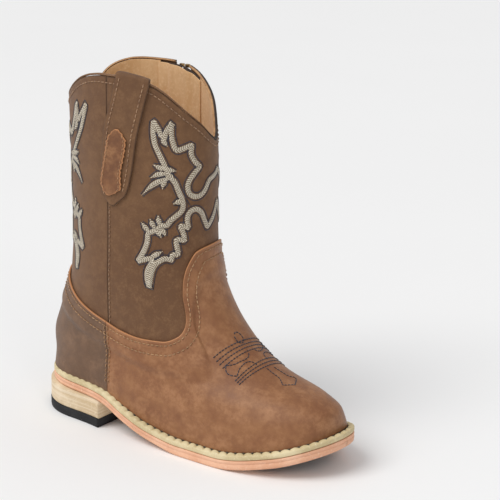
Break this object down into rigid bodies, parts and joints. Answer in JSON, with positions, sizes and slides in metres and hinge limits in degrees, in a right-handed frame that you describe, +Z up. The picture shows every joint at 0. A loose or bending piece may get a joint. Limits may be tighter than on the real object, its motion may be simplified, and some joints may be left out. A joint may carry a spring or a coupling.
{
  "type": "child's western boot",
  "caption": "Child's western boot, right foot: scalloped shaft, stitched wing pattern, low heel, curved sole, side pull strap and a working inside zip with a swinging pull.",
  "frame": {"origin": "middle of the boot's footprint, on the ground", "axes": "+X towards the toe, +Y towards the inner (zip) side, +Z up"},
  "size_m": [0.1974, 0.0752, 0.2012],
  "materials": {
    "vamp_leather": "distressed brown, soft sheen",
    "counter_leather": "grey-brown, soft sheen",
    "shaft_leather": "fine matt grain",
    "binding": "dark folded edge",
    "lining": "soft tan lining",
    "board": "fibre board",
    "stiffener": "stiff sheet",
    "welt": "cream, notched and stitched",
    "outsole": "salmon, satin",
    "heel": "pale stacked heel",
    "top_lift": "matt black",
    "cork": "pressed cork",
    "steel": "plain steel",
    "zip_tape": "woven tape",
    "zip_coil": "nylon coil",
    "zip_metal": "aged bronze"
  },
  "bodies": {
    "boot": {"vamp": "vamp_leather", "strap_patch": "vamp_leather", "counter": "counter_leather", "shaft_front": "shaft_leather", "shaft_back": "shaft_leather", "pull_strap": "shaft_leather", "topline_binding": "binding", "lining_front": "lining", "lining_back": "lining", "vamp_lining": "lining", "heel_lining": "lining", "sock_liner": "lining", "zip_guard": "lining", "insole_board": "board", "heel_stiffener": "stiffener", "toe_puff": "stiffener", "welt": "welt", "outsole": "outsole", "heel_block": "heel", "heel_top_lift": "top_lift", "forepart_filler": "cork", "shank": "steel", "heel_nail_1": "steel", "heel_nail_2": "steel", "heel_nail_3": "steel", "heel_nail_4": "steel", "zip_tape_front": "zip_tape", "zip_tape_back": "zip_tape", "zip_coil_front": "zip_coil", "zip_coil_back": "zip_coil", "zip_stop_front": "zip_metal", "zip_stop_back": "zip_metal", "zip_stop_bottom": "zip_metal"},
    "slider": {"zip_slider": "zip_metal", "zip_bridge": "zip_metal"},
    "pull": {"zip_pull": "zip_metal"}
  },
  "joints": [
    {"name": "zip_slide", "type": "slide", "parent": "boot", "child": "slider", "axis": [0, 0, 1], "range_m": [-0.1155, 0]},
    {"name": "pull_swing", "type": "hinge", "parent": "slider", "child": "pull", "pos_m": [-0.03325, 0.03639, 0.186], "axis": [1, 0, 0], "range_deg": [0, 165]}
  ]
}
